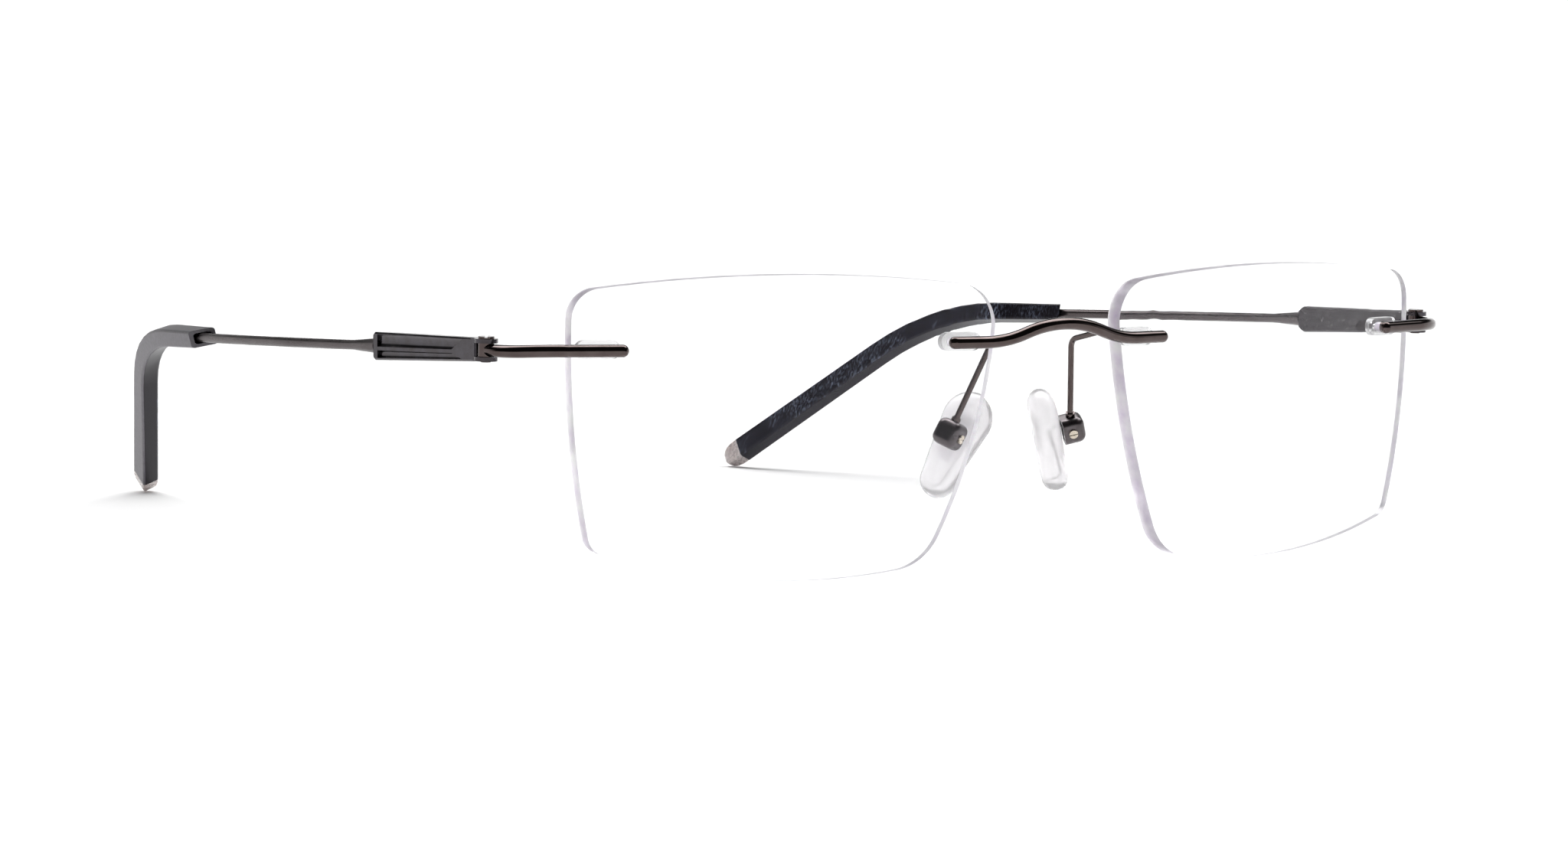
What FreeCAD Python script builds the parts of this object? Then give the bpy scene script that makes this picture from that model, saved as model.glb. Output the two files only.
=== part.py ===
import FreeCAD, Part
import math
import os

# Rimless eyeglasses, standing open. Lengths in mm, angles in degrees.
# The front is drawn upright about the middle height of the lenses, +X to the
# wearer's left, +Y to the rear. At the end everything is leaned until the
# lenses and the temple tips touch the ground together.

V = FreeCAD.Vector

# ---- clearances
side_gap = 0.02              # all round a piece that seats in another
hinge_play = 0.03            # round a pin that turns, and between knuckle and ears
overrun = 3.0                # how far a cutting tool runs past what it cuts
near = 1e-3                  # edges are picked by place to within this
samples = 60                 # points along an edge where one is sought on it
slack = 1e-5                 # an arc with less bend than this is drawn as a line

# ---- lenses
lens_centre_x = 36.73
lens_wrap = 10.6             # how far each lens turns back towards its temple
lens_radius = 308.0
lens_thickness = 1.9
# corners in the lens plane: towards the temple, up
corner_top_outer = (27.37, 16.17)
corner_top_inner = (-27.81, 16.35)
corner_low_inner = (-18.85, -16.58)
corner_low_outer = (24.38, -14.2)
bulge_top = 1.88
bulge_inner = 1.97
bulge_low = 2.63
bulge_outer = 1.13
round_top_outer = 3.7
round_top_inner = 5.1
round_low_inner = 7.1
round_low_outer = 2.6

# ---- rods on the lens fronts, with posts pressed into clear bushings behind
rod_d = 1.5
seat_gap = 0.3               # the rod stands off the lens by this, on shoulders
shoulder_d = 1.4
post_d = 0.7
post_pitch = 2.9
post_from_tip = 1.5
post_short = 0.15            # the posts end this far inside the bushing plate
bush_wall = 0.25
bush_plate = 0.9
bush_seat = 0.015            # the flat plate against the slightly hollow lens back
bush_plate_width = 2.2
bush_plate_margin = 0.2      # the plate runs on past its posts' rounds by this
bush_plate_length = post_pitch + bush_plate_width + 2 * bush_plate_margin

# ---- bridge
bridge_tip_x = 16.34
bridge_height = 9.98
bridge_rise = 2.08
bridge_run = 11.33           # half width of the arch
bridge_forward = 0.6         # how far the arch bows forward

# ---- end pieces and hinges
end_tip_x = 56.9
end_tip_height = 9.4
end_straight_length = 7.6
hinge_x = 70.85
hinge_y = 13.2
hinge_height = 9.1
knuckle_r = 0.95
knuckle_height = 1.56
knuckle_room = 0.15          # between the knuckle and the hollow in the block
ear_r = 1.38
ear_thickness = 0.5
hinge_screw_d = 0.9
hinge_head_d = 1.9
hinge_head_height = 0.26
hinge_slot_width = 0.35
hinge_slot_turn = 35.5
hinge_foot_d = 1.2
hinge_foot_height = 0.15

# ---- temples, measured along the temple from the hinge pin
temple_drop = 3.82
temple_length = 130.7
bow_radius = 248.0
bow_start = 29.2             # the bar starts to bow in where its neck ends
ear_bend_start = 81.7
ear_bend_length = 21.1
ear_bend_drop = 36.06
ear_bend_lean = 31.0

block_start = 0.9
block_end = 23.4
block_thickness = 1.9
block_front_height = 2.75
block_rear_height = 3.35
block_corner = 0.5
block_bevel = 0.2
flute_depth = 0.34
flute_border = 0.25
flute_front = 3.7
flute_slant = 2.3            # the flutes reach further forward at their outer edges
flute_rear_border = 1.1
ridge_height = 0.42
ridge_offset = -0.29
rear_cut_length = 1.2        # the rear corners are cut away behind the outer face
rear_cut_height = 0.8
rear_face_thickness = 0.6

bar_d = 1.18
bar_neck_d = 1.85
bar_neck_middle_d = 1.5
bar_neck_middle = 3.0        # the neck's quick taper ends this far behind the block
bar_tenon = 3.0
bar_tenon_d = 0.9
core_end = 80.0

tip_start = 69.2
tip_front_height = 2.15
tip_front_width = 2.65
tip_front_roll = 14.0        # the top of the tip leans outward
tip_rear_height = 3.0
tip_rear_width = 2.25
tip_rear_roll = 22.0
tip_corner = 0.35
tip_bend_steps = 7
tip_mouth_slant = 2.6        # the outer side starts this much further back
tip_mouth_depth = 5.5
tip_wall = 0.4
cap_length = 3.0
cap_marks = (0.0, 0.35, 0.6, 0.8, 0.92, 0.98)    # sections along the cap, as parts of its length
cap_bluntness = 0.45
cap_plug = 2.2
cap_plug_d = 1.2

# ---- nose pads
pad_x = 7.27
pad_y = 6.97
pad_height = -3.53
pad_splay = 29.5             # the rear edge stands further from the nose
pad_flare = 23.0             # the lower end stands further from the nose
pad_lean = 12.0              # the upper end stands further forward
pad_length = 13.8
pad_width = 6.9
pad_low_radius = 2.35
pad_thickness = 3.3
pad_edge = 2.1               # how far in from the outline the pad reaches its full thickness
pad_steps = 5                # bands from the middle of the edge to each face
core_depth = 0.85            # the plate's middle lies this far outside the pad's middle
core_plate_length = 6.5
core_plate_width = 3.2
core_plate_thickness = 0.5
lug_thickness = 1.6
lug_width = 1.4
box_width = 3.2
box_height = 3.3
box_depth = 2.7
box_wall = 0.55
box_round = 0.95
box_up = 0.95                # the box sits above the middle of the pad
box_gap = 0.3                # between the pad and the mouth of the box
box_play = 0.25              # each side of the lug
pad_screw_d = 0.8
pad_screw_inset = 1.1        # from the mouth of the box to the screw's middle
pad_head_d = 1.1
pad_head_height = 0.25
pad_slot_width = 0.25
arm_d = 0.72
arm_foot_x = 5.8
arm_corner_x = 6.3
arm_corner_y = 1.75
arm_corner_height = 9.4
arm_turn_radius = 2.0
arm_sink = 0.25              # the arm ends this far inside the box's wall
arm_inset = 0.1              # and this much nearer the mouth than the box's middle
collar_length = 0.75
collar_wall = 0.2


# ---------------------------------------------------------------- helpers
def unit(v):
    return v * (1.0 / v.Length)


def frame_at(origin, across, up, along):
    m = FreeCAD.Matrix(across.x, up.x, along.x, origin.x,
                       across.y, up.y, along.y, origin.y,
                       across.z, up.z, along.z, origin.z,
                       0, 0, 0, 1)
    return FreeCAD.Placement(m)


def rounded_wire(w, h, r):
    x, y = w / 2, h / 2
    k = r * (1 - math.sqrt(0.5))
    edges = []
    for sx, sy, flip in ((1, 1, False), (-1, 1, True), (-1, -1, False), (1, -1, True)):
        a = V(sx * x, sy * (y - r), 0)
        m = V(sx * (x - k), sy * (y - k), 0)
        b = V(sx * (x - r), sy * y, 0)
        if flip:
            a, b = b, a
        if edges:
            edges.append(Part.makeLine(edges[-1].Vertexes[-1].Point, a))
        edges.append(Part.Arc(a, m, b).toShape())
    edges.append(Part.makeLine(edges[-1].Vertexes[-1].Point, edges[0].Vertexes[0].Point))
    return Part.Wire(edges)


def placed(wire, origin, across, up, along):
    w = wire.copy()
    w.Placement = frame_at(origin, across, up, along)
    return w


def level_frame(tangent, roll=0.0):
    """Outboard and up directions square to a tangent, rolled outboard."""
    t = unit(tangent)
    n = unit(t.cross(V(0, 0, 1)))
    u = n.cross(t)
    a = math.radians(roll)
    return (n * math.cos(a) - u * math.sin(a), u * math.cos(a) + n * math.sin(a), t)


class Path:
    """Chain of straight lines and arcs, each leaving in the direction the last one ended."""

    def __init__(self, start, direction):
        self.start, self.first = start, unit(direction)
        self.p, self.t = start, unit(direction)
        self.edges = []

    def line_to(self, q):
        self.edges.append(Part.makeLine(self.p, q))
        self.p, self.t = q, unit(q - self.p)
        return self

    def arc_to(self, q):
        chord = q - self.p
        side = chord - self.t * chord.dot(self.t)
        if side.Length < slack:
            return self.line_to(q)
        n = unit(side)
        r = chord.dot(chord) / (2 * chord.dot(n))
        centre = self.p + n * r
        half = unit((self.p - centre) + (q - centre))
        self.edges.append(Part.Arc(self.p, centre + half * r, q).toShape())
        turn = self.t.cross(n)
        self.p, self.t = q, unit(turn.cross(q - centre))
        return self

    def smooth_to(self, q, direction):
        """Two arcs that meet smoothly, ending at q in a given direction."""
        t1, t2 = self.t, unit(direction)
        v, t = q - self.p, self.t + t2
        spread = 2 * (1 - t1.dot(t2))
        if spread < 1e-9:
            d = v.dot(v) / (4 * v.dot(t2))
        else:
            d = (-v.dot(t) + math.sqrt(v.dot(t) ** 2 + spread * v.dot(v))) / spread
        return self.arc_to((self.p + q + (t1 - t2) * d) * 0.5).arc_to(q)

    def rod(self, d):
        pieces = []
        for edge in self.edges:
            a, b = edge.Vertexes[0].Point, edge.Vertexes[-1].Point
            if isinstance(edge.Curve, Part.Line):
                pieces.append(cylinder(a, b - a, d / 2, (b - a).Length))
            else:
                tangent = edge.tangentAt(edge.FirstParameter)
                ring = Part.Circle(a, tangent, d / 2).toShape()
                # a quarter turn between seams, so that two seams never meet in a sliver
                ring.rotate(a, tangent, 90 * len(pieces))
                pieces.append(Part.Wire(edge).makePipeShell([Part.Wire(ring)], True, False))
        return pieces[0].fuse(pieces[1:]) if len(pieces) > 1 else pieces[0]


def cylinder(p, axis, r, length):
    return Part.makeCylinder(r, length, p, unit(axis))


def slab(centre, across, up, along, w, h, l):
    s = Part.makeBox(w, h, l, V(-w / 2, -h / 2, -l / 2))
    s.Placement = frame_at(centre, across, up, along)
    return s


def flipped(v):
    return V(-v.x, v.y, v.z)


def mirrored(shape):
    return shape.mirror(V(), V(1, 0, 0))


# ---------------------------------------------------------------- lens
wrap = math.radians(lens_wrap)
lens_u = V(math.cos(wrap), math.sin(wrap), 0)
lens_w = V(-math.sin(wrap), math.cos(wrap), 0)
lens_origin = V(lens_centre_x, 0, 0)


def lens_point(u, v, w=0.0):
    return lens_origin + lens_u * u + V(0, 0, v) + lens_w * w


def ball(radius):
    return Part.makeSphere(radius, lens_point(0, 0, lens_radius))


def outline_prism(depth_from, depth_to):
    corners = (corner_top_outer, corner_top_inner, corner_low_inner, corner_low_outer)
    bulges = (bulge_top, bulge_inner, bulge_low, bulge_outer)
    edges = []
    for i in range(4):
        (ax, ay), (bx, by) = corners[i], corners[(i + 1) % 4]
        length = math.hypot(bx - ax, by - ay)
        nx, ny = (by - ay) / length, -(bx - ax) / length
        mid = V((ax + bx) / 2 + nx * bulges[i], (ay + by) / 2 + ny * bulges[i], 0)
        edges.append(Part.Arc(V(ax, ay, 0), mid, V(bx, by, 0)).toShape())
    face = Part.Face(Part.Wire(edges))
    prism = face.extrude(V(0, 0, depth_from - depth_to))
    rounds = (round_top_outer, round_top_inner, round_low_inner, round_low_outer)
    for (cx, cy), r in zip(corners, rounds):
        upright = [e for e in prism.Edges if all(math.hypot(v.X - cx, v.Y - cy) < near for v in e.Vertexes)]
        prism = prism.makeFillet(r, upright)
    prism.Placement = frame_at(lens_point(0, 0, depth_from), lens_u, V(0, 0, 1), lens_w * -1)
    return prism


lens = outline_prism(-overrun, 2 * overrun)
lens = lens.common(ball(lens_radius)).cut(ball(lens_radius - lens_thickness))


def surface_y(x, z):
    """Depth of the lens front at a given width and height."""
    c = lens_point(0, 0, lens_radius)
    return c.y - math.sqrt(lens_radius ** 2 - (x - c.x) ** 2 - (z - c.z) ** 2)


class Clamp:
    """Where a rod lies along the lens front: direction, axis and two posts."""

    def __init__(self, tip_x, height, towards):
        middle_x = tip_x + towards * (post_from_tip + post_pitch / 2)
        surface = V(middle_x, surface_y(middle_x, height), height)
        self.inward = unit(lens_point(0, 0, lens_radius) - surface)
        self.along = unit(self.inward.cross(V(0, 0, 1))) * towards
        self.middle = surface - self.inward * (seat_gap + rod_d / 2)
        self.tip = self.middle - self.along * (post_from_tip + post_pitch / 2)
        self.posts = [self.middle + self.along * d for d in (-post_pitch / 2, post_pitch / 2)]
        self.back = rod_d / 2 + seat_gap + lens_thickness + bush_seat
        self.reach = self.back + bush_plate - post_short

    def metal(self):
        parts = [Part.makeSphere(rod_d / 2, self.tip + self.along * (rod_d / 2))]
        for p in self.posts:
            parts.append(cylinder(p, self.inward, post_d / 2, self.reach))
            shoulder = cylinder(p, self.inward, shoulder_d / 2, rod_d / 2 + 2 * seat_gap)
            parts.append(shoulder.cut(ball(lens_radius)))
        return parts

    def holes(self):
        return [cylinder(p, self.inward, post_d / 2 + bush_wall, self.reach + overrun) for p in self.posts]

    def bushing(self):
        plate = Part.Face(rounded_wire(bush_plate_length, bush_plate_width, bush_plate_width / 2 - side_gap))
        body = plate.extrude(V(0, 0, bush_plate))
        across = self.inward.cross(self.along)
        body.Placement = frame_at(self.middle + self.inward * self.back, self.along, across, self.inward)
        # the sleeves stop short of the shoulders
        start = rod_d / 2 + seat_gap + seat_gap / 2
        for p in self.posts:
            sleeve_r = post_d / 2 + bush_wall - side_gap
            body = body.fuse(cylinder(p + self.inward * start, self.inward, sleeve_r, self.back - start))
        for p in self.posts:
            body = body.cut(cylinder(p, self.inward, post_d / 2 + side_gap, self.reach + side_gap))
        return body.removeSplitter()


bridge_clamp = Clamp(bridge_tip_x, bridge_height, -1)
end_clamp = Clamp(end_tip_x, end_tip_height, 1)

for hole in bridge_clamp.holes() + end_clamp.holes():
    lens = lens.cut(hole)

# ---------------------------------------------------------------- bridge
arch_start = bridge_clamp.tip + bridge_clamp.along * ((bridge_tip_x - bridge_run) / abs(bridge_clamp.along.x))
arch_top = V(0, arch_start.y - bridge_forward, bridge_height + bridge_rise)


# each half turns up from the lens and over the crest
bridge_path = Path(bridge_clamp.tip + bridge_clamp.along * (rod_d / 2), bridge_clamp.along)
bridge_path.line_to(arch_start).smooth_to(arch_top, V(-1, 0, 0))
bridge_half = bridge_path.rod(rod_d).fuse(bridge_clamp.metal())
bridge = bridge_half.fuse(mirrored(bridge_half)).removeSplitter()

# ---------------------------------------------------------------- hinge and end piece
up = V(0, 0, 1)
hinge = V(hinge_x, hinge_y, hinge_height)
end_straight = end_clamp.tip + end_clamp.along * end_straight_length
end_path = Path(end_clamp.tip + end_clamp.along * (rod_d / 2), end_clamp.along)
end_path.line_to(end_straight).smooth_to(hinge - V(0, knuckle_r / 2, 0), V(0, 1, 0))
knuckle = cylinder(hinge - up * (knuckle_height / 2), up, knuckle_r, knuckle_height)
pin_bore = cylinder(hinge - up * overrun, up, hinge_screw_d / 2 + hinge_play, 2 * overrun)
end_piece = end_path.rod(rod_d).fuse([knuckle] + end_clamp.metal()).cut(pin_bore).removeSplitter()

# ---------------------------------------------------------------- temple line
def turned(v, axis, angle):
    return FreeCAD.Rotation(axis, math.degrees(angle)).multVec(v)


drop = math.radians(temple_drop)
first_t = V(0, math.cos(drop), -math.sin(drop))
bow_axis = unit(first_t.cross(V(-1, 0, 0)))
bow_angle = (ear_bend_start - bow_start) / bow_radius
bend_t = turned(first_t, bow_axis, bow_angle)
end_drop, end_lean = math.radians(ear_bend_drop), math.radians(ear_bend_lean)
last_t = V(-math.sin(end_lean), math.cos(end_lean), -math.tan(end_drop)) * math.cos(end_drop)
bend_axis = unit(bend_t.cross(last_t))
bend_angle = math.acos(bend_t.dot(last_t))
bend_radius = ear_bend_length / bend_angle


def along_arc(t, axis, radius, length):
    a = length / radius
    return t * (radius * math.sin(a)) + axis.cross(t) * (radius * (1 - math.cos(a)))


def temple_direction(s):
    if s <= bow_start:
        return first_t
    if s <= ear_bend_start:
        return turned(first_t, bow_axis, (s - bow_start) / bow_radius)
    return turned(bend_t, bend_axis, min((s - ear_bend_start) / bend_radius, bend_angle))


def temple_point(s):
    p = hinge + first_t * min(s, bow_start)
    if s > bow_start:
        p = p + along_arc(first_t, bow_axis, bow_radius, min(s, ear_bend_start) - bow_start)
    if s > ear_bend_start:
        p = p + along_arc(bend_t, bend_axis, bend_radius, min(s - ear_bend_start, ear_bend_length))
    if s > ear_bend_start + ear_bend_length:
        p = p + last_t * (s - ear_bend_start - ear_bend_length)
    return p


def temple_path(s0, s1):
    """Centre line between two stations; it crosses no change of curve."""
    return Path(temple_point(s0), temple_direction(s0)).arc_to(temple_point(s1))


def temple_frame(s, roll):
    """Outboard, up and rearward directions at a station, carried along without twist."""
    n, u, t = level_frame(first_t, roll)
    if s > bow_start:
        a = min(s - bow_start, ear_bend_start - bow_start) / bow_radius
        n, u = turned(n, bow_axis, a), turned(u, bow_axis, a)
    if s > ear_bend_start:
        a = min((s - ear_bend_start) / bend_radius, bend_angle)
        n, u = turned(n, bend_axis, a), turned(u, bend_axis, a)
    return n, u, temple_direction(s)


def temple_loft(stations):
    """Straight-sided loft along the temple line: each station is (s, width, height, corner, roll)."""
    wires = []
    for s, width, height, corner, roll in stations:
        wires.append(placed(rounded_wire(width, height, corner), temple_point(s), *temple_frame(s, roll)))
    return Part.makeLoft(wires, True, True)


straight = level_frame(first_t)


def on_block(s, out=0.0, height=0.0):
    n, u, t = straight
    return hinge + t * s + n * out + u * height


# ---------------------------------------------------------------- temple block
half = block_thickness / 2


def block_half_height(s):
    t = (s - block_start) / (block_end - block_start)
    return (block_front_height + t * (block_rear_height - block_front_height)) / 2


def block_prism(points, out_from, out_to):
    wire = Part.makePolygon([on_block(s, out_from, h) for s, h in points + points[:1]])
    return Part.Face(wire).extrude(straight[0] * (out_to - out_from))


def flute(side):
    """A long round hollow with a slanted front end, above or below the ridge."""
    s0, s1 = flute_front, block_end - flute_rear_border
    ridge = ridge_offset + side * ridge_height / 2
    edge0 = side * (block_half_height(s0) - flute_border)
    edge1 = side * (block_half_height(s1) - flute_border)
    points = [(s0 + flute_slant, ridge), (s1, ridge), (s1, edge1), (s0, edge0)]
    region = block_prism(points, half - 2 * flute_depth, half + flute_depth)
    width = abs(edge1 - ridge)
    radius = (width ** 2 / 4 + flute_depth ** 2) / (2 * flute_depth)
    lift = half - flute_depth + radius
    front, rear = on_block(s0, lift, (ridge + edge0) / 2), on_block(s1, lift, (ridge + edge1) / 2)
    return region.common(cylinder(front, rear - front, radius, (rear - front).Length + side_gap))


top0, top1 = block_half_height(block_start), block_half_height(block_end)
profile = [(block_start, -top0), (block_end, -top1), (block_end, top1), (block_start, top0)]
block = block_prism(profile, -half, half)
block = block.makeFillet(block_corner, [e for e in block.Edges if abs(e.Length - block_thickness) < near])
faces = [e for e in block.Edges if abs(abs((e.CenterOfMass - hinge).dot(straight[0])) - half) < near]
block = block.makeChamfer(block_bevel, faces)
block = block.cut(flute(1)).cut(flute(-1))
for side in (1, -1):
    corner = [(block_end - rear_cut_length, side * top1), (block_end, side * (top1 - rear_cut_height)),
              (block_end + overrun, side * (top1 + overrun))]
    block = block.cut(block_prism(corner, -block_thickness, half - rear_face_thickness))
ear_low = knuckle_height / 2 + hinge_play
web_length = block_start + 2 * block_corner
for z0 in (ear_low, -ear_low - ear_thickness):
    disc = cylinder(hinge + up * z0, up, ear_r, ear_thickness)
    web = Part.makeBox(block_thickness, web_length, ear_thickness, hinge + V(-half, 0, z0))
    block = block.fuse([disc, web])
# room for the knuckle to turn between the ears
relief = cylinder(hinge - up * ear_low, up, knuckle_r + knuckle_room, 2 * ear_low)
screw_hole = cylinder(hinge - up * overrun, up, hinge_screw_d / 2 + side_gap, 2 * overrun)
tenon_hole = cylinder(on_block(block_end - bar_tenon - side_gap), first_t, bar_tenon_d / 2 + side_gap,
                      bar_tenon + overrun)
block = block.cut(relief).cut(screw_hole).cut(tenon_hole).removeSplitter()

stack = ear_low + ear_thickness
shaft = cylinder(hinge - up * stack, up, hinge_screw_d / 2, 2 * stack)
foot = cylinder(hinge - up * (stack + hinge_foot_height), up, hinge_foot_d / 2, hinge_foot_height)
head = cylinder(hinge + up * stack, up, hinge_head_d / 2, hinge_head_height)
slot_angle = math.radians(hinge_slot_turn)
slot_across = V(math.cos(slot_angle), math.sin(slot_angle), 0)
slot = slab(hinge + up * (stack + hinge_head_height), slot_across, up.cross(slot_across), up,
            hinge_slot_width, 2 * hinge_head_d, hinge_head_height)
hinge_screw = shaft.fuse([head.cut(slot), foot]).removeSplitter()

# ---------------------------------------------------------------- temple bar
tenon = cylinder(on_block(block_end - bar_tenon), first_t, bar_tenon_d / 2, bar_tenon + bar_neck_middle)
neck_start, neck_mark = on_block(block_end), on_block(block_end + bar_neck_middle)
neck_rest = bow_start - block_end - bar_neck_middle
neck_front = Part.makeCone(bar_neck_d / 2, bar_neck_middle_d / 2, bar_neck_middle, neck_start, first_t)
neck_rear = Part.makeCone(bar_neck_middle_d / 2, bar_d / 2, neck_rest, neck_mark, first_t)
temple_bar = temple_path(bow_start, core_end).rod(bar_d).fuse([neck_front, neck_rear, tenon]).removeSplitter()

# ---------------------------------------------------------------- temple tip and end cap
cap_start = temple_length - cap_length
bend_end = ear_bend_start + ear_bend_length


def tip_station(s, shrink=0.0, scale=1.0):
    """Section of the tip: it grows taller, narrower and more rolled towards its end."""
    t = (s - tip_start) / (cap_start - tip_start)
    width = tip_front_width + t * (tip_rear_width - tip_front_width) - shrink
    height = tip_front_height + t * (tip_rear_height - tip_front_height) - shrink
    roll = tip_front_roll + t * (tip_rear_roll - tip_front_roll)
    return (s, width * scale, height * scale, tip_corner * scale, roll)


marks = [tip_start, (tip_start + ear_bend_start) / 2]
marks += [ear_bend_start + ear_bend_length * i / tip_bend_steps for i in range(tip_bend_steps + 1)]
marks += [(bend_end + cap_start) / 2, cap_start]
temple_tip = temple_loft([tip_station(s) for s in marks])

# the mouth is cut on a slant and hollowed, and the core is bored
out, upward, back = temple_frame(tip_start, tip_front_roll)
mouth = temple_point(tip_start) - upward * overrun
inner, outer = mouth - out * (tip_front_width / 2), mouth + out * (tip_front_width / 2)
slant = Part.makePolygon([inner, inner - back * overrun, outer - back * overrun,
                          outer + back * tip_mouth_slant, inner])
hollow = temple_loft([tip_station(tip_start + d, 2 * tip_wall) for d in (-overrun, tip_mouth_depth)])
bore = temple_path(tip_start - overrun, core_end + side_gap).rod(bar_d + 2 * side_gap)
plug_start = temple_point(cap_start - cap_plug)
plug_hole = cylinder(plug_start - last_t * side_gap, last_t, cap_plug_d / 2 + side_gap, cap_plug + overrun)
for tool in (Part.Face(slant).extrude(upward * (2 * overrun)), hollow, bore, plug_hole):
    temple_tip = temple_tip.cut(tool)
temple_tip = temple_tip.removeSplitter()

# the cap carries the last section on, rounded in towards its end
end_section = tip_station(cap_start)[1:]
cap_stations = []
for t in cap_marks:
    scale = (1 - t ** 3) ** cap_bluntness
    width, height, corner, roll = end_section
    cap_stations.append((cap_start + cap_length * t, width * scale, height * scale, corner * scale, roll))
plug = cylinder(plug_start, last_t, cap_plug_d / 2, cap_plug + cap_length / 2)
cap = temple_loft(cap_stations).fuse(plug).removeSplitter()

# ---------------------------------------------------------------- nose pads
splay = math.radians(pad_splay)
pad_up = unit(V(-math.tan(math.radians(pad_flare)), -math.tan(math.radians(pad_lean)), 1))
pad_out = unit(V(math.sin(splay), math.cos(splay), 0).cross(pad_up))
pad_back = pad_up.cross(pad_out)
pad_centre = V(pad_x, pad_y, pad_height)


def on_pad(back=0.0, height=0.0, out=0.0):
    return pad_centre + pad_back * back + pad_up * height + pad_out * out


def pad_section(inset, level):
    """Outline of the pad: a large round above and a small one below, joined by straight sides."""
    large, small = pad_width / 2 - inset, pad_low_radius - inset
    high = V(0, (pad_length - pad_width) / 2, level)
    low = V(0, pad_low_radius - pad_length / 2, level)
    tilt = math.asin((large - small) / (high.y - low.y))
    slope = V(math.cos(tilt), -math.sin(tilt), 0)
    corners = [low + slope * small, high + slope * large,
               high + flipped(slope) * large, low + flipped(slope) * small]
    return Part.Wire([
        Part.makeLine(corners[0], corners[1]),
        Part.Arc(corners[1], high + V(0, large, 0), corners[2]).toShape(),
        Part.makeLine(corners[2], corners[3]),
        Part.Arc(corners[3], low - V(0, small, 0), corners[0]).toShape()])


pad_sections = []
for i in range(-pad_steps, pad_steps + 1):
    a = math.radians(90 * i / pad_steps)
    pad_sections.append(pad_section(pad_edge * (1 - math.cos(a)), pad_thickness / 2 * math.sin(a)))
pad = Part.makeLoft(pad_sections, True, True)
pad.Placement = frame_at(pad_centre, pad_back, pad_up, pad_out)

# stiff core: a plate inside the pad and a lug that reaches into the box
plate_centre = on_pad(height=box_up, out=core_depth)
box_face = pad_thickness / 2 + box_gap - core_depth
screw_out = box_face + pad_screw_inset
plate_round = core_plate_width / 2 - side_gap
core_plate = Part.Face(rounded_wire(core_plate_width, core_plate_length, plate_round))
core_plate = core_plate.extrude(V(0, 0, core_plate_thickness))
plate_face = plate_centre - pad_out * (core_plate_thickness / 2)
core_plate.Placement = frame_at(plate_face, pad_back, pad_up, pad_out)
screw_centre = plate_centre + pad_out * screw_out
lug_centre = plate_centre + pad_out * (screw_out / 2)
lug = slab(lug_centre, pad_back, pad_up, pad_out, lug_width, lug_thickness, screw_out)
eye = cylinder(screw_centre - pad_back * (lug_width / 2), pad_back, lug_thickness / 2, lug_width)
eye_hole = cylinder(screw_centre - pad_back * overrun, pad_back, pad_screw_d / 2 + hinge_play, 2 * overrun)
pad_core = core_plate.fuse([lug, eye]).cut(eye_hole).removeSplitter()
pad = pad.cut(pad_core)

# box: a rounded cup open towards the pad
box_centre = plate_centre + pad_out * (box_face + box_depth / 2)
box = slab(box_centre, pad_back, pad_up, pad_out, box_width, box_height, box_depth)
closed_end = [e for e in box.Edges if (e.CenterOfMass - box_centre).dot(pad_out) > -side_gap]
box = box.makeFillet(box_round, closed_end)
cavity = slab(box_centre - pad_out * box_wall, pad_back, pad_up, pad_out,
              lug_width + 2 * box_play, box_height - 2 * box_wall, box_depth)
box_hole = cylinder(screw_centre - pad_back * box_width, pad_back, pad_screw_d / 2 + side_gap, 2 * box_width)
box = box.cut(cavity).cut(box_hole)
head_face = screw_centre - pad_back * (box_width / 2)
head_top = head_face - pad_back * pad_head_height
pad_shaft = cylinder(head_face, pad_back, pad_screw_d / 2, box_width)
pad_head = cylinder(head_top, pad_back, pad_head_d / 2, pad_head_height)
pad_slot = slab(head_top, pad_up, pad_out, pad_back, pad_slot_width, 2 * pad_head_d, pad_head_height)
pad_screw = pad_shaft.fuse(pad_head.cut(pad_slot)).removeSplitter()

# arm: rearward from the bridge, then down to the box, with a collar where it enters
bridge_line = [p for e in bridge_path.edges for p in e.discretize(samples)]
arm_foot = min(bridge_line, key=lambda p: abs(p.x - arm_foot_x))
arm_corner = V(arm_corner_x, arm_corner_y, arm_corner_height)
arm_end = box_centre + pad_up * (box_height / 2 - arm_sink) - pad_out * arm_inset
leg1, leg2 = unit(arm_foot - arm_corner), unit(arm_end - arm_corner)
cut_back = arm_turn_radius / math.tan(math.acos(leg1.dot(leg2)) / 2)
arm_path = Path(arm_foot, leg1 * -1).line_to(arm_corner + leg1 * cut_back)
arm_path.arc_to(arm_corner + leg2 * cut_back).line_to(arm_end)
collar = cylinder(arm_end - leg2 * collar_length, leg2, arm_d / 2 + collar_wall, collar_length)
arm = arm_path.rod(arm_d).fuse(collar).cut(bridge).cut(box).removeSplitter()
# the cut leaves a scrap of the arm's foot inside the rod
arm = max(arm.Solids, key=lambda solid: solid.Volume)

# ---------------------------------------------------------------- gather, stand up and save
sided = {
    "lens": lens,
    "bridge_bushing": bridge_clamp.bushing(),
    "end_bushing": end_clamp.bushing(),
    "end_piece": end_piece,
    "hinge_screw": hinge_screw,
    "temple_block": block,
    "temple_bar": temple_bar,
    "temple_tip": temple_tip,
    "tip_cap": cap,
    "pad_arm": arm,
    "pad_box": box,
    "pad_screw": pad_screw,
    "pad_core": pad_core,
    "nose_pad": pad,
}
nodes = {"bridge": bridge}
for name, shape in sided.items():
    nodes[name + "_left"] = shape
    nodes[name + "_right"] = mirrored(shape)


def lowest(shape):
    return min((p for e in shape.Edges for p in e.discretize(samples)), key=lambda p: p.z)


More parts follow.
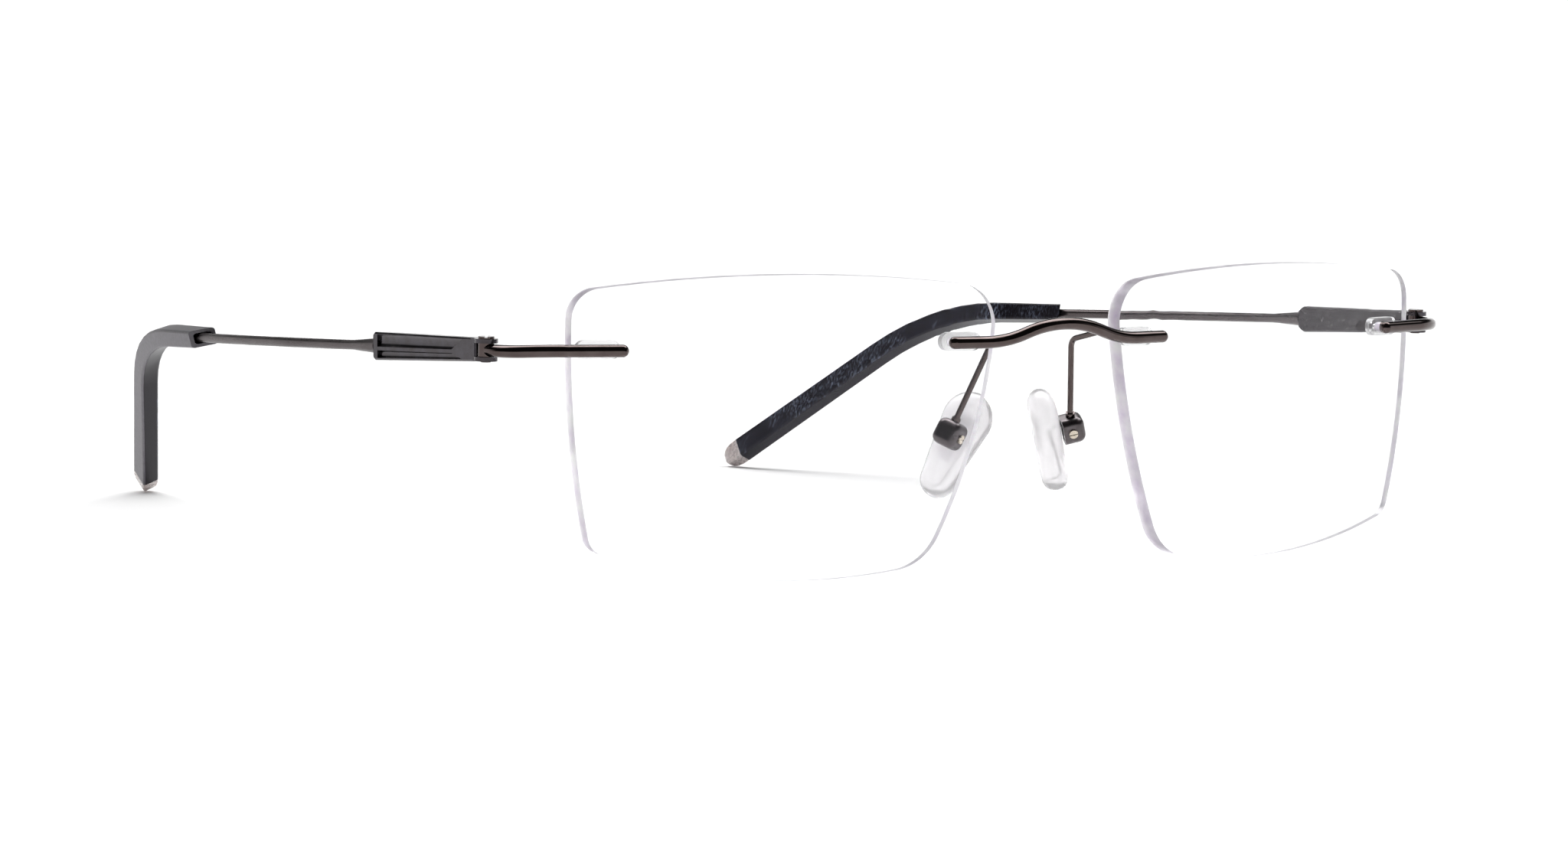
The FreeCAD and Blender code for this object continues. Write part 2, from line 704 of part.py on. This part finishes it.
# stand on the lenses and the caps at once, with the origin under the middle
lens_foot, cap_foot = lowest(lens), lowest(cap)
front_lean = math.degrees(math.atan2(lens_foot.z - cap_foot.z, cap_foot.y - lens_foot.y))
for shape in nodes.values():
    shape.rotate(V(), V(1, 0, 0), front_lean)
whole = Part.makeCompound(list(nodes.values()))
bounds = whole.optimalBoundingBox(True, False)
ground = V(0, -(bounds.YMin + bounds.YMax) / 2, -bounds.ZMin)

os.makedirs("parts", exist_ok=True)
for name, shape in nodes.items():
    shape.translate(ground)
    shape.exportStep("parts/" + name + ".step")
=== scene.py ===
import math

import bpy
from mathutils import Matrix, Vector

# Rimless eyeglasses: the CAD nodes with their finishes, a floor, soft light and the camera.
# Everything is in metres in the CAD frame: +X to the wearer's left, +Y to the rear, +Z up.

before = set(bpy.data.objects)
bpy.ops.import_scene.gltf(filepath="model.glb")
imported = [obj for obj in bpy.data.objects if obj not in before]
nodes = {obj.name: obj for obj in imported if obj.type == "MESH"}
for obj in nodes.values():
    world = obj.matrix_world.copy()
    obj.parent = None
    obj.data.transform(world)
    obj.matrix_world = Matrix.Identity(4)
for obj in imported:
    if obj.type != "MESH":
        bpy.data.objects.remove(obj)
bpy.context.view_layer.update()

MM = 0.001
LEFT = (1.0, 0.0, 0.0)
RIGHT = (-1.0, 0.0, 0.0)
REAR = (0.0, 1.0, 0.0)
UP = (0.0, 0.0, 1.0)
DOWN = (0.0, 0.0, -1.0)

# ---------------------------------------------------------------- shading of the CAD meshes

SHARP_ANGLE = math.radians(32)       # an edge that turns by more than this stays sharp
WELD_DISTANCE = 0.0005 * MM          # corners nearer than this become one


def smoothing_group():
    """Geometry nodes that shade a mesh smooth and keep its real edges sharp."""
    g = bpy.data.node_groups.new("smooth_by_angle", "GeometryNodeTree")
    g.interface.new_socket("Geometry", in_out="INPUT", socket_type="NodeSocketGeometry")
    g.interface.new_socket("Geometry", in_out="OUTPUT", socket_type="NodeSocketGeometry")
    source = g.nodes.new("NodeGroupInput")
    plain = g.nodes.new("GeometryNodeRemoveAttribute")
    plain.inputs["Name"].default_value = "custom_normal"
    weld = g.nodes.new("GeometryNodeMergeByDistance")
    weld.inputs["Distance"].default_value = WELD_DISTANCE
    faces = g.nodes.new("GeometryNodeSetShadeSmooth")
    faces.domain = "FACE"
    faces.inputs["Shade Smooth"].default_value = True
    angle = g.nodes.new("GeometryNodeInputMeshEdgeAngle")
    sharp = g.nodes.new("FunctionNodeCompare")
    sharp.data_type = "FLOAT"
    sharp.operation = "GREATER_THAN"
    sharp.inputs[1].default_value = SHARP_ANGLE
    edges = g.nodes.new("GeometryNodeSetShadeSmooth")
    edges.domain = "EDGE"
    edges.inputs["Shade Smooth"].default_value = False
    result = g.nodes.new("NodeGroupOutput")
    g.links.new(source.outputs[0], plain.inputs["Geometry"])
    g.links.new(plain.outputs["Geometry"], weld.inputs["Geometry"])
    g.links.new(weld.outputs["Geometry"], faces.inputs["Geometry"])
    g.links.new(angle.outputs["Unsigned Angle"], sharp.inputs[0])
    g.links.new(sharp.outputs[0], edges.inputs["Selection"])
    g.links.new(faces.outputs["Geometry"], edges.inputs["Geometry"])
    g.links.new(edges.outputs["Geometry"], result.inputs[0])
    return g


smoothing = smoothing_group()
for piece in nodes.values():
    piece.modifiers.new("smooth", "NODES").node_group = smoothing
    # flat faces stay flat beside their rounded corners
    weighted = piece.modifiers.new("weighted", "WEIGHTED_NORMAL")
    weighted.keep_sharp = True

# ---------------------------------------------------------------- shader nodes


class Nodes:
    """A shader tree with the operations that the finishes and the studio share."""

    interpolation = "LINEAR"

    def __init__(self, tree):
        self.tree = tree

    def dot(self, output, direction):
        """-1 to 1: how far a unit vector points along a direction."""
        node = self.tree.nodes.new("ShaderNodeVectorMath")
        node.operation = "DOT_PRODUCT"
        node.inputs[1].default_value = direction
        self.tree.links.new(output, node.inputs[0])
        return node.outputs["Value"]

    def math(self, operation, *inputs):
        """A sum, product or the like of outputs and plain numbers."""
        node = self.tree.nodes.new("ShaderNodeMath")
        node.operation = operation
        for socket, value in zip(node.inputs, inputs):
            if isinstance(value, float):
                socket.default_value = value
            else:
                self.tree.links.new(value, socket)
        return node.outputs[0]

    def span(self, output, low, high, start, end):
        """Maps start to end of an output onto low to high, and stops there."""
        node = self.tree.nodes.new("ShaderNodeMapRange")
        node.interpolation_type = self.interpolation
        for socket, value in (("From Min", start), ("From Max", end), ("To Min", low), ("To Max", high)):
            node.inputs[socket].default_value = value
        self.tree.links.new(output, node.inputs["Value"])
        return node.outputs["Result"]


# ---------------------------------------------------------------- materials

NOISE_LOW, NOISE_HIGH = 0.3, 0.7     # nearly all of a noise lies between these


class Finish(Nodes):
    """A Principled material whose colour, roughness and bump follow noise and the way a face looks."""

    def __init__(self, name, **sockets):
        self.material = bpy.data.materials.new(name)
        self.material.use_nodes = True
        super().__init__(self.material.node_tree)
        self.shader = self.tree.nodes["Principled BSDF"]
        for socket, value in sockets.items():
            self.shader.inputs[socket.replace("_", " ")].default_value = value
        self.place = self.tree.nodes.new("ShaderNodeTexCoord")

    def noise(self, per_mm, stretch=(1, 1, 1), detail=3.0, turn=(0, 0, 0)):
        """Noise with that many features per millimetre, drawn out along an axis by a stretch under 1."""
        mapping = self.tree.nodes.new("ShaderNodeMapping")
        mapping.inputs["Rotation"].default_value = turn
        mapping.inputs["Scale"].default_value = [s * per_mm / MM for s in stretch]
        noise = self.tree.nodes.new("ShaderNodeTexNoise")
        noise.inputs["Scale"].default_value = 1.0
        noise.inputs["Detail"].default_value = detail
        self.tree.links.new(self.place.outputs["Object"], mapping.inputs["Vector"])
        self.tree.links.new(mapping.outputs["Vector"], noise.inputs["Vector"])
        return noise.outputs["Fac"]

    def facing(self, direction, start, end):
        """0 to 1 as the surface turns towards a direction of the piece."""
        return self.span(self.dot(self.place.outputs["Normal"], direction), 0.0, 1.0, start, end)

    def edge_on(self, direction, start, end):
        """1 where the surface stands square to a direction, 0 where it faces along it."""
        size = self.math("ABSOLUTE", self.dot(self.place.outputs["Normal"], direction))
        return self.span(size, 1.0, 0.0, start, end)

    def ramp(self, factor, low, high, start=NOISE_LOW, end=NOISE_HIGH):
        """One colour up to start, another from end on, mixed between."""
        node = self.tree.nodes.new("ShaderNodeValToRGB")
        for element, place, rgb in zip(node.color_ramp.elements, (start, end), (low, high)):
            element.position = place
            element.color = (*rgb, 1.0)
        self.tree.links.new(factor, node.inputs["Fac"])
        return node.outputs["Color"]

    def blend(self, factor, a, b):
        """Colour output a where the factor is 0, b where it is 1."""
        node = self.tree.nodes.new("ShaderNodeMixRGB")
        self.tree.links.new(factor, node.inputs["Fac"])
        self.tree.links.new(a, node.inputs["Color1"])
        self.tree.links.new(b, node.inputs["Color2"])
        return node.outputs["Color"]

    def drive(self, socket, output):
        self.tree.links.new(output, self.shader.inputs[socket])
        return self

    def mix(self, socket, factor, off, on):
        """Drives a socket from off, where the factor is 0, to on, where it is 1."""
        return self.drive(socket, self.span(factor, off, on, 0.0, 1.0))

    def colour(self, factor, low, high):
        return self.drive("Base Color", self.ramp(factor, low, high))

    def rough(self, factor, low, high):
        return self.drive("Roughness", self.span(factor, low, high, NOISE_LOW, NOISE_HIGH))

    def bump(self, factor, height_mm):
        node = self.tree.nodes.new("ShaderNodeBump")
        node.inputs["Strength"].default_value = 1.0
        node.inputs["Distance"].default_value = height_mm * MM
        self.tree.links.new(factor, node.inputs["Height"])
        return self.drive("Normal", node.outputs["Normal"])


def gunmetal_gloss():
    """The polished rods, arms and hinge screws."""
    f = Finish("gunmetal_gloss", Metallic=1.0)
    f.colour(f.noise(0.6), (0.080, 0.062, 0.059), (0.098, 0.079, 0.076))
    f.rough(f.noise(1.2, stretch=(1, 0.4, 1)), 0.08, 0.13)
    return f.bump(f.noise(6.0), 0.0003).material


def gunmetal_cast():
    """The rounded pad boxes, duller than the rods."""
    f = Finish("gunmetal_cast", Metallic=1.0)
    f.colour(f.noise(1.5), (0.090, 0.080, 0.082), (0.125, 0.112, 0.116))
    f.rough(f.noise(2.0), 0.27, 0.36)
    return f.bump(f.noise(6.0), 0.0006).material


def gunmetal_block(outward):
    """The temple blocks: even outside and on the edges, dark with fine specks on the inner face."""
    f = Finish("gunmetal_block", Metallic=1.0)
    outer = f.ramp(f.noise(0.8), (0.056, 0.050, 0.052), (0.076, 0.071, 0.080))
    specks = f.ramp(f.noise(5.0, detail=2.0), (0.036, 0.031, 0.034), (0.30, 0.29, 0.29), 0.64, 0.72)
    f.drive("Base Color", f.blend(f.facing(outward, -0.9, -0.7), specks, outer))
    f.rough(f.noise(2.0, stretch=(1, 0.2, 1)), 0.12, 0.22)
    return f.bump(f.noise(8.0, stretch=(1, 0.15, 1)), 0.0006).material


def gunmetal_satin():
    """The temple bars, brushed lengthwise."""
    f = Finish("gunmetal_satin", Metallic=1.0)
    f.colour(f.noise(0.5, stretch=(1, 0.2, 1)), (0.070, 0.058, 0.059), (0.100, 0.086, 0.087))
    f.rough(f.noise(2.5, stretch=(1, 0.1, 1)), 0.24, 0.34)
    return f.bump(f.noise(10.0, stretch=(1, 0.06, 1)), 0.0010).material


def screw_steel():
    """The pad screws."""
    f = Finish("screw_steel", Metallic=1.0)
    f.colour(f.noise(2.0), (0.52, 0.46, 0.37), (0.68, 0.62, 0.53))
    f.rough(f.noise(5.0), 0.22, 0.34)
    return f.bump(f.noise(12.0), 0.002).material


def tip_dark(outward):
    """Satin grey outside, with painted floor light where it turns down; near black inside, with light
    bluish strokes.
    """
    f = Finish("tip_dark")
    inward = [-v for v in outward]
    dark = f.ramp(f.noise(2.0, detail=5.0), (0.040, 0.037, 0.042), (0.058, 0.054, 0.061))
    # painted light: a lighter grey, blended in where the outer face turns down, stands for light from
    # the floor
    floor_lit_grey = f.ramp(f.noise(2.0, detail=5.0), (0.096, 0.088, 0.102), (0.128, 0.119, 0.137))
    grey = f.blend(f.facing(DOWN, 0.04, 0.24), dark, floor_lit_grey)
    # light bluish strokes, in patches, on the inward faces only
    streaks = f.noise(4.2, stretch=(1, 1, 0.30), detail=6.0, turn=(0.5, 0, 0))
    strokes = f.span(streaks, 0.0, 1.0, 0.47, 0.76)
    patches = f.span(f.noise(0.16, detail=3.0), 0.12, 1.0, 0.41, 0.60)
    inner_patches = f.math("MULTIPLY", patches, f.facing(inward, 0.15, 0.40))
    inner_strokes = f.math("MULTIPLY", strokes, inner_patches)
    black = f.ramp(inner_strokes, (0.008, 0.006, 0.010), (0.19, 0.22, 0.30), 0.0, 1.0)
    outside = f.facing(outward, 0.08, 0.16)
    f.drive("Base Color", f.blend(outside, black, grey))
    f.mix("Roughness", outside, 0.26, 0.42)
    f.mix("Specular IOR Level", outside, 0.12, 0.5)
    return f.bump(f.noise(4.5, detail=5.0), 0.004).material


def cap_clear():
    """The cloudy, faintly pink end caps of the tips."""
    f = Finish("cap_clear", Transmission_Weight=0.30, IOR=1.46, Subsurface_Weight=0.3,
               Subsurface_Radius=(1.0, 0.9, 0.85), Subsurface_Scale=0.8 * MM)
    f.colour(f.noise(0.7), (0.66, 0.58, 0.57), (0.82, 0.75, 0.73))
    f.rough(f.noise(2.0), 0.22, 0.34)
    return f.bump(f.noise(3.0), 0.002).material


def lens_clear():
    """Clear, polished, coated against glare; a finely ground, slightly violet rim, with painted shade
    top and bottom.
    """
    f = Finish("lens_clear", IOR=1.53, Specular_Tint=(0.15, 0.15, 0.18, 1.0), Subsurface_Weight=1.0,
               Subsurface_Radius=(1.0, 0.9, 1.0), Subsurface_Scale=2.5 * MM)
    rim = f.edge_on(REAR, 0.55, 0.75)
    steep = f.edge_on(UP, 0.2, 0.8)
    clear = f.ramp(f.noise(0.03), (0.985, 0.985, 0.990), (0.990, 0.990, 0.993))
    upright = f.ramp(f.noise(0.5, detail=5.0), (0.76, 0.70, 0.82), (0.96, 0.94, 0.98))
    # painted shade: the rim's top and bottom edges, the same ground finish, are coloured darker grey
    shaded_flat_rim = f.ramp(f.noise(0.5, detail=5.0), (0.34, 0.32, 0.36), (0.52, 0.50, 0.54))
    f.drive("Base Color", f.blend(rim, clear, f.blend(steep, shaded_flat_rim, upright)))
    frost = f.span(f.noise(0.22, detail=4.0), 0.92, 0.70, 0.40, 0.64)
    f.mix("Transmission Weight", f.math("MULTIPLY", rim, frost), 1.0, 0.0)
    return f.mix("Roughness", rim, 0.0, 0.30).material


def pad_clear():
    """Soft milky silicone."""
    f = Finish("pad_clear", Transmission_Weight=0.72, IOR=1.41, Subsurface_Weight=1.0,
               Subsurface_Radius=(1.0, 1.0, 1.0), Subsurface_Scale=2.0 * MM)
    f.colour(f.noise(0.9, detail=5.0), (0.96, 0.935, 0.96), (0.99, 0.975, 0.995))
    f.rough(f.noise(1.2), 0.10, 0.20)
    return f.bump(f.noise(0.8), 0.004).material


def core_clear():
    """The stiff plate inside a pad."""
    f = Finish("core_clear", Transmission_Weight=0.96, IOR=1.44)
    f.colour(f.noise(0.8), (0.95, 0.95, 0.96), (0.98, 0.98, 0.98))
    f.rough(f.noise(2.0), 0.06, 0.14)
    return f.bump(f.noise(2.0), 0.004).material


def bushing_clear():
    """The clear bushings behind the lenses."""
    f = Finish("bushing_clear", Transmission_Weight=0.88, IOR=1.46)
    f.colour(f.noise(1.0), (0.92, 0.92, 0.93), (0.97, 0.97, 0.97))
    f.rough(f.noise(2.0), 0.10, 0.20)
    return f.bump(f.noise(2.0), 0.003).material


gloss = gunmetal_gloss()
finish_of = {
    "bridge": gloss,
    "end_piece": gloss,
    "hinge_screw": gloss,
    "pad_arm": gloss,
    "pad_box": gunmetal_cast(),
    "temple_block_left": gunmetal_block(LEFT),
    "temple_block_right": gunmetal_block(RIGHT),
    "temple_bar": gunmetal_satin(),
    "pad_screw": screw_steel(),
    "temple_tip_left": tip_dark(LEFT),
    "temple_tip_right": tip_dark(RIGHT),
    "tip_cap": cap_clear(),
    "lens": lens_clear(),
    "nose_pad": pad_clear(),
    "pad_core": core_clear(),
    "bridge_bushing": bushing_clear(),
    "end_bushing": bushing_clear(),
}
SHADOWLESS = ("lens", "nose_pad", "pad_core", "bridge_bushing", "end_bushing")


for name, piece in nodes.items():
    kind = name.removesuffix("_left").removesuffix("_right")
    piece.data.materials.clear()
    piece.data.materials.append(finish_of.get(name) or finish_of[kind])
    # clear plastic throws next to no shadow
    piece.visible_shadow = kind not in SHADOWLESS

# ---------------------------------------------------------------- floor

FLOOR_REACH = 12.0


def stage_floor():
    r = FLOOR_REACH
    mesh = bpy.data.meshes.new("floor")
    mesh.from_pydata([(-r, -r, 0), (r, -r, 0), (r, r, 0), (-r, r, 0)], [], [(0, 1, 2, 3)])
    floor = bpy.data.objects.new("floor", mesh)
    bpy.context.scene.collection.objects.link(floor)
    f = Finish("floor_pale", Roughness=0.9, Specular_IOR_Level=0.1)
    mesh.materials.append(f.colour(f.noise(0.002), (0.92, 0.92, 0.92), (0.93, 0.93, 0.93)).material)


stage_floor()

# ---------------------------------------------------------------- light and camera

CAMERA_AT = Vector((-509.79, -726.93, 84.95)) * MM
CAMERA_YAW = math.radians(35.5)      # looks this far to the right of straight along +Y
CAMERA_PITCH = math.radians(-5.54)
CAMERA_ROLL = math.radians(1.704)
FRAME_LEAN = math.radians(1.063)     # the front was upright when the camera was found
SENSOR = 36.0
LENS = 159.44
CLIP_START = 0.01
CLIP_END = 100.0

SOFTBOX_ELEVATION = math.radians(67)     # above the horizon, on the far side of the object
SOFTBOX_DEPTH = (0.22, 0.34)             # from the middle to where it starts and ends to fade
SOFTBOX_WIDTH = (0.50, 0.75)
SOFTBOX_STRENGTH = 5.8
BACKDROP_TOP = (0.18, 0.36)              # heights above the horizon between which it fades
BACKDROP_SIDES = (-0.25, 0.1)            # how far behind the object it starts and is full
BACKDROP_STRENGTH = 1.0
ROOM_STRENGTH = 0.03


class Studio(Nodes):
    """A studio as the world: a dark room, a low white backdrop behind and a softbox overhead."""

    interpolation = "SMOOTHSTEP"

    def __init__(self):
        world = bpy.data.worlds.new("studio")
        world.use_nodes = True
        bpy.context.scene.world = world
        super().__init__(world.node_tree)
        self.direction = self.tree.nodes.new("ShaderNodeTexCoord").outputs["Generated"]

    def towards(self, axis):
        return self.dot(self.direction, axis)

    def softbox(self, away, side):
        """A wide soft rectangle: 1 inside, 0 outside."""
        centre = away * math.cos(SOFTBOX_ELEVATION) + Vector(UP) * math.sin(SOFTBOX_ELEVATION)
        depth = self.math("ABSOLUTE", self.towards(side.cross(centre)))
        width = self.math("ABSOLUTE", self.towards(side))
        inside = self.math("MULTIPLY", self.span(depth, 1.0, 0.0, *SOFTBOX_DEPTH),
                           self.span(width, 1.0, 0.0, *SOFTBOX_WIDTH))
        # the rectangle shows once, not also on the opposite side of the sky
        return self.math("MULTIPLY", inside, self.span(self.towards(centre), 0.0, 1.0, 0.0, 0.1))

    def backdrop(self, away):
        """Everything low down behind the object."""
        low = self.span(self.towards(UP), 1.0, 0.0, *BACKDROP_TOP)
        return self.math("MULTIPLY", low, self.span(self.towards(away), 0.0, 1.0, *BACKDROP_SIDES))

    def light(self):
        away = Vector((math.sin(CAMERA_YAW), math.cos(CAMERA_YAW), 0.0))
        side = Vector((math.cos(CAMERA_YAW), -math.sin(CAMERA_YAW), 0.0))
        softbox = self.math("MULTIPLY", self.softbox(away, side), SOFTBOX_STRENGTH)
        backdrop = self.math("MULTIPLY", self.backdrop(away), BACKDROP_STRENGTH)
        lit = self.math("ADD", softbox, backdrop)
        background = self.tree.nodes["Background"]
        background.inputs["Color"].default_value = (1.0, 1.0, 1.0, 1.0)
        self.tree.links.new(self.math("ADD", lit, ROOM_STRENGTH), background.inputs["Strength"])


def photo_camera():
    """The camera at the photo's viewing angle."""
    forward = Vector((math.sin(CAMERA_YAW) * math.cos(CAMERA_PITCH),
                      math.cos(CAMERA_YAW) * math.cos(CAMERA_PITCH),
                      math.sin(CAMERA_PITCH)))
    level = Vector((math.cos(CAMERA_YAW), -math.sin(CAMERA_YAW), 0.0))
    upright = level.cross(forward)
    right = level * math.cos(CAMERA_ROLL) + upright * math.sin(CAMERA_ROLL)
    up = upright * math.cos(CAMERA_ROLL) - level * math.sin(CAMERA_ROLL)
    aim = Matrix((right, up, -forward)).transposed()
    lean = Matrix.Rotation(FRAME_LEAN, 3, "X")
    data = bpy.data.cameras.new("camera")
    data.sensor_width = SENSOR
    data.lens = LENS
    data.clip_start = CLIP_START
    data.clip_end = CLIP_END
    camera = bpy.data.objects.new("camera", data)
    camera.matrix_world = Matrix.Translation(CAMERA_AT) @ (lean @ aim).to_4x4()
    bpy.context.scene.collection.objects.link(camera)
    bpy.context.scene.camera = camera


Studio().light()
photo_camera()
bpy.context.scene.view_settings.view_transform = "Standard"
